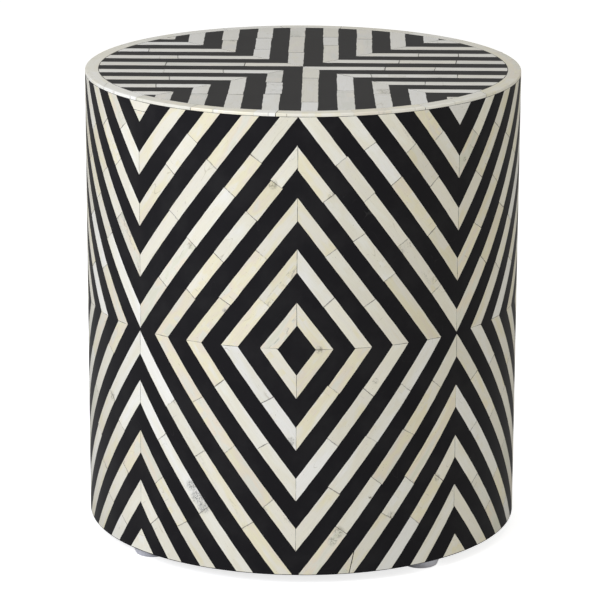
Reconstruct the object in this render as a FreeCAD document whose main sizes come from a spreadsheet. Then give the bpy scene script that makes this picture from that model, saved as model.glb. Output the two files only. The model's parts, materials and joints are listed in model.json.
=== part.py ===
import FreeCAD, Part
import math
import os

# A round drum stool with no moving parts. Twenty wooden staves stand between two ply
# panels and are glued round three twenty-sided formers. The outside is a marquetry skin
# of bone strips with black resin poured between them, and a bone ring edges the top.
# The drum stands on four tapered glides. Z is up, the floor is at zero and the front is -Y.

os.makedirs("parts", exist_ok=True)
doc = FreeCAD.newDocument("drum_stool")

# Counts
column_count = 4
flats_per_half_column = 5
flat_count = 2 * column_count * flats_per_half_column
stave_count = 20
rim_piece_count = 20
strip_course_count = 8

# Driving sizes in millimetres
driving_sizes = {
    "drum_diameter": 430,
    "drum_height": 454,
    "skin_thickness": 3,
    "rim_width": 13,
    "rim_edge_ease": 0.8,
    "strip_width": 13.5,
    "heart_size": 14.5,
    "corner_size": 12.2,
    "top_strip_width": 16.2,
    "top_gap_width": 18.2,
    "stave_thickness": 18,
    "panel_thickness": 18,
    "former_thickness": 18,
    "former_clearance": 0.2,
    "ring_width": 60,
    "screw_diameter": 4,
    "screw_length": 18,
    "screw_head_diameter": 8,
    "screw_head_height": 2.5,
    "screw_clearance": 0.1,
    "glide_height": 10,
    "glide_top_diameter": 40,
    "glide_foot_diameter": 32,
    "glide_recess_depth": 4,
    "glide_edge_gap": 4.5,
}

# Angles in degrees: half of what lies between the two front glides, and the way that
# the middle between them faces
driving_angles = {
    "glide_half_spread_angle": 44,
    "glide_front_angle": 265,
}
sheet = doc.addObject("Spreadsheet::Sheet", "sizes")
for row, (alias, value) in enumerate({**driving_sizes, **driving_angles}.items(), start=1):
    sheet.set(f"A{row}", alias)
    sheet.set(f"B{row}", str(value))
    sheet.setAlias(f"B{row}", alias)
doc.recompute()

front_angle = 270.0
full_turn = 360.0
near_zero = 1e-6
up = FreeCAD.Vector(0, 0, 1)
subparts = []

# Sizes that several pieces share, as expressions on the sheet
half_flat = full_turn / flat_count / 2
half_stave = full_turn / stave_count / 2
core_radius = "(sizes.drum_diameter / 2 - sizes.skin_thickness)"
hollow_flat = f"({core_radius} * cos({half_flat}) - sizes.stave_thickness)"
hollow_radius = f"({hollow_flat} / cos({half_stave}))"
former_radius = f"(({hollow_flat} - sizes.former_clearance) / cos({half_stave}))"
drum_top = "(sizes.glide_height + sizes.drum_height)"
skin_top = f"({drum_top} - sizes.skin_thickness)"
stave_bottom = "(sizes.glide_height + sizes.panel_thickness)"
stave_top = f"({skin_top} - sizes.panel_thickness)"
glide_circle = "((sizes.drum_diameter - sizes.glide_top_diameter) / 2 - sizes.glide_edge_gap)"
bore_radius = "(sizes.screw_diameter / 2 + sizes.screw_clearance)"
head_radius = "(sizes.screw_head_diameter / 2 + sizes.screw_clearance)"
pilot_depth = ("(sizes.screw_length + sizes.glide_recess_depth - sizes.glide_height"
               " + sizes.screw_clearance)")


def size(alias):
    return float(sheet.get(alias))


def bind(item, expressions):
    for name, expression in expressions.items():
        item.setExpression(name, str(expression))
    return item


def raised(height):
    return {"Placement.Base.z": height}


def new_body(label):
    body = doc.addObject("PartDesign::Body", label)
    body.Label = label
    body.AllowCompound = True
    return body


def add(body, kind, name, expressions, counts=None):
    feature = body.newObject(f"PartDesign::{kind}", name)
    for key, value in (counts or {}).items():
        setattr(feature, key, value)
    return bind(feature, expressions)


def repeat_round(body, originals, count):
    pattern = body.newObject("PartDesign::PolarPattern", f"{body.Name}_round")
    pattern.Originals = originals
    z_axis = [item for item in body.Origin.OriginFeatures if item.Role == "Z_Axis"][0]
    pattern.Axis = (z_axis, [""])
    pattern.Angle = full_turn
    pattern.Occurrences = count
    body.Tip = pattern
    return pattern


def at_turn(radius, turn, height):
    return {
        "Placement.Base.x": f"{radius} * cos({turn})",
        "Placement.Base.y": f"{radius} * sin({turn})",
        "Placement.Base.z": height,
    }


# Panels at both ends of the drum, cut to the same flats as the skin
def add_panel(label, height):
    body = new_body(label)
    add(body, "AdditivePrism", f"{label}_board",
        {"Circumradius": core_radius, "Height": "sizes.panel_thickness"}, {"Polygon": flat_count})
    bind(body, raised(height))
    subparts.append(body)
    return body


add_panel("top_panel", stave_top)
base_panel = add_panel("base_panel", "sizes.glide_height")

# Pilot holes for the glide screws, from below. Two are drilled and turned half round.
glide_turns = {
    "left": "(sizes.glide_front_angle - sizes.glide_half_spread_angle)",
    "right": "(sizes.glide_front_angle + sizes.glide_half_spread_angle)",
}
pilots = [add(base_panel, "SubtractiveCylinder", f"pilot_{name}",
              {"Radius": bore_radius, "Height": pilot_depth, **at_turn(glide_circle, turn, 0)})
          for name, turn in glide_turns.items()]
repeat_round(base_panel, pilots, 2)


# Formers that the staves are glued round: a board at each end and a ring half way up
def add_former(label, height):
    body = new_body(label)
    add(body, "AdditivePrism", f"{label}_board",
        {"Circumradius": former_radius, "Height": "sizes.former_thickness"}, {"Polygon": stave_count})
    bind(body, raised(height))
    subparts.append(body)
    return body


add_former("top_former", f"({stave_top} - sizes.former_thickness)")
add_former("base_former", stave_bottom)
middle_former = add_former("middle_former",
                           f"(({stave_bottom} + {stave_top} - sizes.former_thickness) / 2)")
add(middle_former, "SubtractivePrism", "middle_former_hole",
    {"Circumradius": f"{former_radius} - sizes.ring_width", "Height": "sizes.former_thickness"},
    {"Polygon": stave_count})


# Staves: one wedge of a tube each, two flats outside and one inside
def add_prism(name, sides, radius):
    prism = doc.addObject("Part::Prism", name)
    prism.Polygon = sides
    bind(prism, {"Circumradius": radius, "Height": f"{stave_top} - {stave_bottom}"})
    return bind(prism, raised(stave_bottom))


stave_tube = doc.addObject("Part::Cut", "stave_tube")
stave_tube.Base = add_prism("stave_tube_outside", flat_count, core_radius)
stave_tube.Tool = add_prism("stave_tube_hollow", stave_count, hollow_radius)
for number in range(stave_count):
    wedge = doc.addObject("Part::Cylinder", f"stave_wedge_{number + 1:02d}")
    wedge.Angle = full_turn / stave_count
    wedge.Placement.Rotation = FreeCAD.Rotation(up, number * full_turn / stave_count)
    bind(wedge, {"Radius": "sizes.drum_diameter / 2", "Height": f"{stave_top} - {stave_bottom}",
                 "Placement.Base.z": stave_bottom})
    stave = doc.addObject("Part::Common", f"stave_{number + 1:02d}")
    stave.Label = stave.Name
    stave.Base = stave_tube
    stave.Tool = wedge
    subparts.append(stave)


# Four tapered glides, each with a recess for its screw's head. Two are made and turned
# half round, and so are their screws.
def add_glide(body, name, turn):
    place = at_turn(glide_circle, turn, 0)
    puck = add(body, "AdditiveCone", f"{name}_puck",
               {"Radius1": "sizes.glide_foot_diameter / 2", "Radius2": "sizes.glide_top_diameter / 2",
                "Height": "sizes.glide_height", **place})
    recess = add(body, "SubtractiveCylinder", f"{name}_recess",
                 {"Radius": head_radius, "Height": "sizes.glide_recess_depth", **place})
    bore = add(body, "SubtractiveCylinder", f"{name}_bore",
               {"Radius": bore_radius, "Height": "sizes.glide_height", **place})
    return [puck, recess, bore]


# Pan-head wood screws that hold the glides
def add_screw(body, name, turn):
    head = add(body, "AdditiveCylinder", f"{name}_head",
               {"Radius": "sizes.screw_head_diameter / 2", "Height": "sizes.screw_head_height",
                **at_turn(glide_circle, turn, "-sizes.screw_head_height")})
    shank = add(body, "AdditiveCylinder", f"{name}_shank",
                {"Radius": "sizes.screw_diameter / 2", "Height": "sizes.screw_length",
                 **at_turn(glide_circle, turn, 0)})
    return [head, shank]


def add_four(label, add_one, height):
    body = new_body(label)
    features = [feature for name, turn in glide_turns.items()
                for feature in add_one(body, f"{label}_{name}", turn)]
    repeat_round(body, features, 2)
    bind(body, raised(height))
    subparts.append(body)


add_four("glides", add_glide, 0)
add_four("glide_screws", add_screw, "sizes.glide_recess_depth")
doc.recompute()

# The marquetry skin. It is drawn flat and wrapped round the drum's flats. Each column of
# the pattern is four mirrored cells, whose places run from 0 to 1 along each side.
drum_radius = size("drum_diameter") / 2
skin_thickness = size("skin_thickness")
field_bottom = size("glide_height")
field_top = field_bottom + size("drum_height") - skin_thickness
cell_turn = full_turn / column_count / 2
cell_height = (field_top - field_bottom) / 2
cell_width = 2 * drum_radius * math.sin(math.radians(half_flat)) * flats_per_half_column
flat_turn = full_turn / flat_count


# The part of a convex outline where a * x + b * y is at least c
def clip(outline, a, b, c):
    kept = []
    for first, second in zip(outline, outline[1:] + outline[:1]):
        start = a * first[0] + b * first[1] - c
        end = a * second[0] + b * second[1] - c
        if start >= 0:
            kept.append(first)
        if start * end < 0:
            share = start / (start - end)
            kept.append(tuple(p + share * (q - p) for p, q in zip(first, second)))
    return kept


# A place on the drum: straight lines stay straight across each flat
def on_drum(place, radius):
    turn, height = place
    step = math.floor(turn / flat_turn)
    corners = []
    for corner in (step, step + 1):
        angle = math.radians(corner * flat_turn)
        corners.append(FreeCAD.Vector(radius * math.cos(angle), radius * math.sin(angle), height))
    return corners[0] + (corners[1] - corners[0]) * (turn / flat_turn - step)


def flat_face(points):
    return Part.Face(Part.makePolygon(points + points[:1]))


def skin_radii():
    return drum_radius, drum_radius - skin_thickness


# The slanted sides twist a little, so each is two triangles on the same diagonal
def wall_faces(first, second):
    first, second = sorted((first, second))
    outer, inner = skin_radii()
    corners = [on_drum(first, outer), on_drum(second, outer),
               on_drum(second, inner), on_drum(first, inner)]
    level = abs(first[1] - second[1]) < near_zero
    upright = abs(first[0] - second[0]) < near_zero
    if level or upright:
        return [flat_face(corners)]
    return [flat_face(corners[:3]), flat_face([corners[0], corners[2], corners[3]])]


# Turns of the flats' corners strictly between two turns
def flat_lines(low, high):
    first = math.floor(low / flat_turn + near_zero) + 1
    last = math.ceil(high / flat_turn - near_zero)
    return [number * flat_turn for number in range(first, last)]


def skin_faces(outline, open_sides):
    turns = [turn for turn, height in outline]
    lines = [min(turns)] + flat_lines(min(turns), max(turns)) + [max(turns)]
    faces = []
    for low, high in zip(lines, lines[1:]):
        part = clip(clip(outline, 1, 0, low), -1, 0, -high)
        faces += [flat_face([on_drum(place, radius) for place in part]) for radius in skin_radii()]
    for first, second, is_open in zip(outline, outline[1:] + outline[:1], open_sides):
        if is_open:
            continue
        stops = flat_lines(min(first[0], second[0]), max(first[0], second[0]))
        if second[0] < first[0]:
            stops.reverse()
        path = [first]
        for stop in stops:
            share = (stop - first[0]) / (second[0] - first[0])
            path.append((stop, first[1] + share * (second[1] - first[1])))
        path.append(second)
        for start, end in zip(path, path[1:]):
            faces += wall_faces(start, end)
    return faces


def closed_solids(faces):
    sewn = Part.makeCompound(faces)
    sewn.sewShape()
    solids = []
    for shell in sewn.Shells:
        solid = Part.makeSolid(shell)
        if solid.Volume < 0:
            solid.reverse()
        solids.append(solid)
    return solids


# A band of the pattern in one cell, between two distances from the column's centre
def band(low, high):
    cell = [(0.0, 0.0), (1.0, 0.0), (1.0, 1.0), (0.0, 1.0)]
    return clip(clip(cell, 1, 1, low), -1, -1, -high)


def cell_places(outline, column, side, rise):
    middle = (field_bottom + field_top) / 2
    centre = front_angle + column * 2 * cell_turn
    return [(centre + side * across * cell_turn, middle + rise * along * cell_height)
            for across, along in outline]


# Bone strips are mitred, one solid a leg. Resin runs through every mitre, so it has no
# side there, and neighbouring cells sew into one solid.
def band_solids(low, high, runs_through):
    outline = band(low, high)
    pairs = list(zip(outline, outline[1:] + outline[:1]))
    open_sides = []
    for first, second in pairs:
        on_column_line = first[0] == second[0] and first[0] in (0, 1)
        on_middle_line = first[1] == second[1] == 0
        on_mitre = on_column_line or on_middle_line
        open_sides.append(runs_through and on_mitre)
    cells = [skin_faces(cell_places(outline, column, side, rise), open_sides)
             for column in range(column_count) for side in (-1, 1) for rise in (-1, 1)]
    if runs_through:
        return closed_solids([face for cell in cells for face in cell])
    return [solid for cell in cells for solid in closed_solids(cell)]


def add_group(label, solids):
    feature = doc.addObject("Part::Feature", label)
    feature.Label = label
    feature.Shape = Part.makeCompound(solids)
    subparts.append(feature)


# Side courses, counted outwards from the column's centre. A distance of 1 is the line
# from the field's top to the junction of two columns.
line_distance = cell_width * cell_height / math.hypot(cell_width, cell_height)
strip_share = size("strip_width") / line_distance
heart_share = size("heart_size") / line_distance
corner_share = size("corner_size") / line_distance
pitch_share = (2 - heart_share - corner_share) / strip_course_count
diamond_count = strip_course_count // 2
resin_from = 0.0
for course in range(strip_course_count):
    bone_from = heart_share + course * pitch_share
    bone_to = bone_from + strip_share
    in_diamond = course < diamond_count
    number = course + 1 if in_diamond else course + 1 - diamond_count
    bone_label = f"bone_diamond_{number}" if in_diamond else f"bone_chevron_{number}"
    add_group(bone_label, band_solids(bone_from, bone_to, False))
    if course == 0:
        resin_label = "resin_heart"
    elif course < diamond_count:
        resin_label = f"resin_diamond_{course}"
    elif course == diamond_count:
        resin_label = "resin_lattice"
    else:
        resin_label = f"resin_chevron_{course - diamond_count}"
    add_group(resin_label, band_solids(resin_from, bone_from, True))
    resin_from = bone_to
add_group(f"resin_chevron_{strip_course_count - diamond_count}",
          band_solids(resin_from, 2 - corner_share, True))
add_group("bone_corners", band_solids(2 - corner_share, 2, False))


# The rim: flat bone pieces round the edge of the top, with an eased outer edge
def rim_outline(first, last, outer, inner):
    turns = [number * flat_turn for number in range(first, last + 1)]
    outside = [on_drum((turn, field_top), outer) for turn in turns]
    inside = [on_drum((turn, field_top), inner) for turn in reversed(turns)]
    return outside + inside


field_radius = drum_radius - size("rim_width")
rise = FreeCAD.Vector(0, 0, skin_thickness)
flats_per_piece = flat_count // rim_piece_count
rim_pieces = []
for number in range(rim_piece_count):
    outline = rim_outline(number * flats_per_piece, (number + 1) * flats_per_piece,
                          drum_radius, field_radius)
    piece = flat_face(outline).extrude(rise)
    edges = [edge for edge in piece.Edges
             if all(abs(math.hypot(point.X, point.Y) - drum_radius) < near_zero
                    and point.Z > field_top + skin_thickness / 2 for point in edge.Vertexes)]
    rim_pieces.append(piece.makeChamfer(size("rim_edge_ease"), edges))
add_group("rim_bone", rim_pieces)

# The top: in each quadrant L-shaped courses face the centre. Two opposite quadrants start
# with bone at the axes and the other two with resin, so the stripes cross the axes evenly.
top_pitch = size("top_strip_width") + size("top_gap_width")
field = flat_face([on_drum((number * flat_turn, field_top), field_radius)
                   for number in range(flat_count)]).extrude(rise)


def top_piece(outline, across, along):
    points = [FreeCAD.Vector(across * x, along * y, field_top) for x, y in outline]
    piece = flat_face(points).extrude(rise).common(field)
    return piece.Solids


def bone_course(low, high, across, along):
    leg = [(low, low), (drum_radius, low), (drum_radius, high), (high, high)]
    other = [(y, x) for x, y in leg]
    return top_piece(leg, across, along) + top_piece(other, across, along)


def resin_course(low, high, across, along):
    ell = [(low, low), (drum_radius, low), (drum_radius, high), (high, high),
           (high, drum_radius), (low, drum_radius)]
    return top_piece(ell, across, along)


quadrants = {
    "back_left": (-1, 1, True),
    "back_right": (1, 1, False),
    "front_left": (-1, -1, False),
    "front_right": (1, -1, True),
}
for name, (across, along, bone_first) in quadrants.items():
    bone = []
    resin = []
    low = 0.0
    is_bone = bone_first
    while low < field_radius * math.cos(math.radians(half_flat)) / math.sqrt(2):
        high = low + size("top_strip_width" if is_bone else "top_gap_width")
        if is_bone:
            bone += bone_course(low, high, across, along)
        else:
            resin += resin_course(low, high, across, along)
        low = high
        is_bone = not is_bone
    add_group(f"top_bone_{name}", bone)
    add_group(f"top_resin_{name}", resin)
doc.recompute()

# Every object must be sound before anything is written
for item in doc.Objects:
    if "Invalid" in item.State or "Error" in item.State:
        raise RuntimeError(f"{item.Label} is {item.State}")
for item in subparts:
    if item.Shape.isNull() or not item.Shape.isValid() or not item.Shape.Solids:
        raise RuntimeError(f"{item.Label} has no valid shape")
for item in subparts:
    item.Shape.exportStep(f"parts/{item.Label}.step")
print(f"{len(subparts)} nodes, {sum(len(item.Shape.Solids) for item in subparts)} solids")
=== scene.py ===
import bmesh
import bpy
import json
import math
import random
from mathutils import Matrix, Vector, geometry

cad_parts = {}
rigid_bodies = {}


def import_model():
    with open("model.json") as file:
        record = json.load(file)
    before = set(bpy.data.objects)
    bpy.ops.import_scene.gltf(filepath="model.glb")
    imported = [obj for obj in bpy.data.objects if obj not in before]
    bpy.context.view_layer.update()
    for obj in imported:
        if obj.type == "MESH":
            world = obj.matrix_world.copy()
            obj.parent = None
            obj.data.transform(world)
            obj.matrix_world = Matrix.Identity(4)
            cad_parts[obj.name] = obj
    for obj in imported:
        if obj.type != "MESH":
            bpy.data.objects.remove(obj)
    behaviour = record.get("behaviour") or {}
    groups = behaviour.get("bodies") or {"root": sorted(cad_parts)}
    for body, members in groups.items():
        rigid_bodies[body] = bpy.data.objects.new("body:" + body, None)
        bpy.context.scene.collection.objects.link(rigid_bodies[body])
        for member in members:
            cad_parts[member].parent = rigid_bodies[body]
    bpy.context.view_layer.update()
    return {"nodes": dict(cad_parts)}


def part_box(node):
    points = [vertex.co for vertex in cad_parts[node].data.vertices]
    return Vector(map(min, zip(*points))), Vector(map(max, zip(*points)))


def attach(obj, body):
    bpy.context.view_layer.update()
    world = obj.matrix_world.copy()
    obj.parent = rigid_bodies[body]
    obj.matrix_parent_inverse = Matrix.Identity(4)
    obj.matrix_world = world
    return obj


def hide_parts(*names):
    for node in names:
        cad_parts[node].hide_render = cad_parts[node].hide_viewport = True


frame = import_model()
bpy.ops.object.select_all(action="DESELECT")
chance = random.Random(41)

# the drum, read from the frame
drum = {
    "radius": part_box("rim_bone")[1].x,
    "foot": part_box("base_panel")[0].z,
    "fieldTop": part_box("rim_bone")[0].z,
    "top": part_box("rim_bone")[1].z,
    "columns": 4,
}
roundLength = 2 * math.pi * drum["radius"]
cellWidth = roundLength / drum["columns"] / 2
cellHeight = (drum["fieldTop"] - drum["foot"]) / 2
middleHeight = drum["foot"] + cellHeight
touching = 0.00001  # places nearer than this count as one
cutMerge = 1e-7  # a cut that passes nearer to a vertex uses it
print("frame loaded, drum radius", round(drum["radius"], 4))


# small helpers for shaping

def addShape(name, operator, **values):  # a new primitive, alone selected
    bpy.ops.object.select_all(action="DESELECT")
    operator(**values)
    piece = bpy.context.object
    piece.name = name
    piece.data.name = name
    return piece


def applyPlace():
    bpy.ops.object.transform_apply(location=True, rotation=True, scale=True)


def applyModifier(piece, kind, **values):
    modifier = piece.modifiers.new(kind, kind)
    for name, value in values.items():
        setattr(modifier, name, value)
    bpy.ops.object.modifier_apply(modifier=modifier.name)


def chooseParts(piece, kind, wanted):  # in edit mode; tells how far the chosen parts reach from the axis
    bpy.ops.mesh.select_all(action="DESELECT")
    mesh = bmesh.from_edit_mesh(piece.data)
    reach = 0
    for part in mesh.faces if kind == "faces" else mesh.edges:
        if wanted(part):
            part.select = True
            reach = max([reach] + [vert.co.xy.length for vert in part.verts])
    bmesh.update_edit_mesh(piece.data)
    return reach


def thicken(piece, depth):
    applyModifier(piece, "SOLIDIFY", thickness=depth, offset=-1, use_even_offset=False)


def standUp(piece):  # from the table to the wall: height becomes Z, the face looks to the front
    piece.rotation_euler = (math.pi / 2, 0, 0)
    applyPlace()


def bendRound(piece):  # a flat piece wraps the drum; X runs round it and Y runs inwards
    reach = [vert.co.x for vert in piece.data.vertices]
    applyModifier(piece, "SIMPLE_DEFORM", deform_method="BEND", deform_axis="Z",
                  angle=(max(reach) - min(reach)) / drum["radius"])
    piece.location.y = -drum["radius"]
    applyPlace()


def closePiece(smoothAngle):  # the active piece's faces look outwards and shade smooth up to this angle
    bpy.ops.object.mode_set(mode="EDIT")
    bpy.ops.mesh.select_all(action="SELECT")
    bpy.ops.mesh.normals_make_consistent(inside=False)
    bpy.ops.object.mode_set(mode="OBJECT")
    bpy.ops.object.shade_smooth_by_angle(angle=math.radians(smoothAngle))


def keepPiece(piece, material, slotName, *nodes):
    piece.data.materials.clear()
    piece.data.materials.append(material)
    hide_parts(*nodes)
    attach(piece, "root")
    print(piece.name, len(piece.data.polygons), "faces")


# laying rows of tiles flat on the table

hand = {
    "rareShare": 0.16,  # of the tiles lie or are cut worse than usual
    "rareLeast": 0.5,
    "jointSpread": 0.5,
}


def startPiece(name):  # an empty piece at the origin, in edit mode, with its tile seed layer
    piece = addShape(name, bpy.ops.mesh.primitive_plane_add, location=(0, 0, 0))
    piece.data.attributes.new("tileSeed", "FLOAT_VECTOR", "FACE")
    bpy.ops.object.mode_set(mode="EDIT")
    bpy.ops.mesh.delete(type="VERT")
    return piece


def layTile(piece, middle, turn, length, width, steps, leans=(0, 0), levels=(0, 1)):  # left selected
    bpy.ops.mesh.primitive_grid_add(
        x_subdivisions=steps[0], y_subdivisions=steps[1], size=1, calc_uvs=True, location=(0, 0, 0))
    bpy.ops.transform.resize(value=(length, width, 1), center_override=(0, 0, 0))
    mesh = bmesh.from_edit_mesh(piece.data)
    seedLayer = mesh.faces.layers.float_vector["tileSeed"]
    seed = Vector((chance.random(), chance.uniform(*levels), chance.random()))
    for face in mesh.faces:
        if face.select:
            face[seedLayer] = seed
    for vert in mesh.verts:
        if vert.select:
            for side, lean in zip((-1, 1), leans):
                if abs(vert.co.x - side * length / 2) < touching:
                    vert.co.x += lean * vert.co.y
    bmesh.update_edit_mesh(piece.data)
    bpy.ops.transform.rotate(value=-turn, orient_axis="Z", center_override=(0, 0, 0))
    bpy.ops.transform.translate(value=(middle.x, middle.y, 0))


def trimTile(point, outward):  # cuts the selected tile and drops what lies outward
    bpy.ops.mesh.bisect(plane_co=point, plane_no=outward, clear_outer=True, threshold=cutMerge)
    bpy.ops.mesh.select_linked()


def jointPlaces(length, tile, spread, endRoom):  # where a row of tiles is jointed
    count = max(1, round(length / tile))
    places = []
    for number in range(1, count):
        place = length * number / count + chance.uniform(-spread, spread)
        if endRoom < place < length - endRoom:
            places.append(place)
    return places


def unevenness(usual, rare):  # a small error of the hand, now and then a larger one
    if chance.random() < hand["rareShare"]:
        return chance.choice((-1, 1)) * chance.uniform(hand["rareLeast"], 1) * rare
    return chance.uniform(-usual, usual)


def layRow(piece, start, along, length, tiles, trims, seenJoints=None):  # trimmed at both ends
    direction = along.normalized()
    across = Vector((-direction.y, direction.x, 0))
    turn = math.atan2(direction.y, direction.x)
    joints = seenJoints
    if joints is None:
        joints = jointPlaces(length, tiles["length"], tiles["lengthSpread"], tiles["endRoom"])
    stops = [-tiles["overrun"]] + joints + [length + tiles["overrun"]]
    leans = [0] + [chance.uniform(-tiles["lean"], tiles["lean"]) for joint in joints] + [0]
    for number, (low, high) in enumerate(zip(stops, stops[1:])):
        joint = tiles["joint"] * chance.uniform(1 - hand["jointSpread"], 1 + hand["jointSpread"])
        tileLength = high - low - joint
        width = tiles["width"] + unevenness(tiles["widthSpread"], tiles["widthStep"])
        shift = unevenness(tiles["shift"], tiles["shiftStep"])
        middle = start + direction * (low + high) / 2 + across * shift
        steps = (max(1, round(tileLength / tiles["facet"])), tiles["rows"])
        layTile(piece, middle, turn + chance.gauss(0, tiles["skew"]), tileLength, width, steps,
                (leans[number], leans[number + 1]), tiles["levels"])
        if number == 0:
            trimTile(*trims[0])
        if number == len(stops) - 2 and trims[1]:
            trimTile(*trims[1])
        bpy.ops.mesh.remove_doubles(threshold=tiles["shortest"])  # no slivers left by the cut


def isSteady(vert, tiles):  # a vertex on a short side stays, because moving it could turn a face over
    return min(edge.calc_length() for edge in vert.link_edges) < tiles["shortSide"]


def easeTiles(piece, tiles):  # hand-cut outline, then a small eased edge round every tile
    mesh = bmesh.from_edit_mesh(piece.data)
    steady = {vert for vert in mesh.verts if isSteady(vert, tiles)}
    for vert in mesh.verts:
        if vert.is_boundary and vert not in steady:
            vert.co.x += chance.uniform(-tiles["wobble"], tiles["wobble"])
            vert.co.y += chance.uniform(-tiles["wobble"], tiles["wobble"])
    bmesh.update_edit_mesh(piece.data)
    bpy.ops.mesh.select_all(action="SELECT")
    bpy.ops.mesh.inset(thickness=tiles["ease"], depth=0, use_boundary=True)
    mesh = bmesh.from_edit_mesh(piece.data)
    for vert in mesh.verts:
        if vert.is_boundary:
            vert.co.z -= tiles["easeDrop"]
    bmesh.update_edit_mesh(piece.data)
    bpy.ops.object.mode_set(mode="OBJECT")


# shader helpers

nodeStep = (240, 280)  # between the columns and the rows of a node tree
mixSockets = {"FLOAT": (0, 2, 3, 0), "RGBA": (0, 6, 7, 2)}  # factor, both values, result


def addNode(tree, kind, **values):
    node = tree.nodes.new(kind)
    for name, value in values.items():
        if hasattr(node, name) and name not in node.inputs:
            setattr(node, name, value)
        else:
            node.inputs[name].default_value = value
    return node


def wire(tree, output, target):
    tree.links.new(output, target)


def feed(tree, values, targets):  # a plain value is typed in, an output is wired
    for value, target in zip(values, targets):
        if isinstance(value, (int, float, tuple, Vector)):
            target.default_value = value
        else:
            wire(tree, value, target)


def mathNode(tree, operation, *values):
    node = addNode(tree, "ShaderNodeMath", operation=operation)
    feed(tree, values, node.inputs)
    return node.outputs[0]


def vectorNode(tree, operation, *values):
    node = addNode(tree, "ShaderNodeVectorMath", operation=operation)
    feed(tree, values, node.inputs)
    return node.outputs["Value" if operation == "DISTANCE" else "Vector"]


def product(tree, first, *others):
    for other in others:
        first = mathNode(tree, "MULTIPLY", first, other)
    return first


def splitNode(tree, vector):
    node = addNode(tree, "ShaderNodeSeparateXYZ")
    wire(tree, vector, node.inputs[0])
    return node.outputs


def rangeNode(tree, value, low, high, outLow, outHigh):
    node = addNode(tree, "ShaderNodeMapRange", interpolation_type="SMOOTHSTEP",
                   **{"From Min": low, "From Max": high, "To Min": outLow, "To Max": outHigh})
    wire(tree, value, node.inputs["Value"])
    return node.outputs["Result"]


def mixNode(tree, kind, *values):  # factor, first and second value
    node = addNode(tree, "ShaderNodeMix", data_type=kind)
    *sockets, result = mixSockets[kind]
    feed(tree, values, [node.inputs[number] for number in sockets])
    return node.outputs[result]


def noiseNode(tree, vector, stretch, detail, rough, distortion=0.0):
    noise = addNode(tree, "ShaderNodeTexNoise", Scale=1, Detail=detail, Roughness=rough,
                    Distortion=distortion)
    wire(tree, vectorNode(tree, "MULTIPLY", vector, stretch), noise.inputs["Vector"])
    return noise.outputs["Fac"]


def patches(tree, vector, stretch, detail, rough, spread):  # where the noise is high
    return rangeNode(tree, noiseNode(tree, vector, stretch, detail, rough), *spread)


def windingLines(tree, vector, stretch, detail, rough, distortion, spread):  # where it crosses its middle
    field = noiseNode(tree, vector, stretch, detail, rough, distortion)
    return rangeNode(tree, mathNode(tree, "ABSOLUTE", mathNode(tree, "SUBTRACT", field, 0.5)), *spread)


def rampNode(tree, factor, stops):
    node = addNode(tree, "ShaderNodeValToRGB")
    ramp = node.color_ramp
    while len(ramp.elements) < len(stops):
        ramp.elements.new(0.5)
    for element, (position, color) in zip(ramp.elements, stops):
        element.position = position
        element.color = (*color, 1)
    wire(tree, factor, node.inputs["Fac"])
    return node.outputs["Color"]


def newGroup(name, inputs, outputs):  # each socket's name and its kind
    tree = bpy.data.node_groups.new(name, "ShaderNodeTree")
    for direction, sockets in (("INPUT", inputs), ("OUTPUT", outputs)):
        for socket, kind in sockets.items():
            tree.interface.new_socket(socket, in_out=direction, socket_type=f"NodeSocket{kind}")
    return tree, addNode(tree, "NodeGroupInput").outputs, addNode(tree, "NodeGroupOutput").inputs


def newMaterial(name, **shaderValues):
    material = bpy.data.materials.new(name)
    material.use_nodes = True
    tree = material.node_tree
    tree.nodes.clear()
    shader = addNode(tree, "ShaderNodeBsdfPrincipled", **shaderValues)
    wire(tree, shader.outputs[0], addNode(tree, "ShaderNodeOutputMaterial").inputs[0])
    return material, tree, shader


def objectPlace(tree):
    return addNode(tree, "ShaderNodeTexCoord").outputs["Object"]


def useGroup(tree, group, place, **values):
    node = addNode(tree, "ShaderNodeGroup", node_tree=group, **values)
    wire(tree, place, node.inputs["Place"])
    return node


def addBump(tree, shader, height, strength, distance):
    bump = addNode(tree, "ShaderNodeBump", Strength=strength, Distance=distance)
    wire(tree, height, bump.inputs["Height"])
    wire(tree, bump.outputs[0], shader.inputs["Normal"])


def arrangeNodes(tree):  # every node stands to the right of what feeds it
    column = {node.name: 0 for node in tree.nodes}
    for _ in tree.nodes:
        for link in tree.links:
            column[link.to_node.name] = max(column[link.to_node.name], column[link.from_node.name] + 1)
    filled = [0] * (len(column) + 1)
    for node in tree.nodes:
        number = column[node.name]
        node.location = (nodeStep[0] * number, -nodeStep[1] * filled[number])
        filled[number] += 1


# bone: cloudy ivory tones, long fibres, pores, a few grey veins, soiled ends

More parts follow.
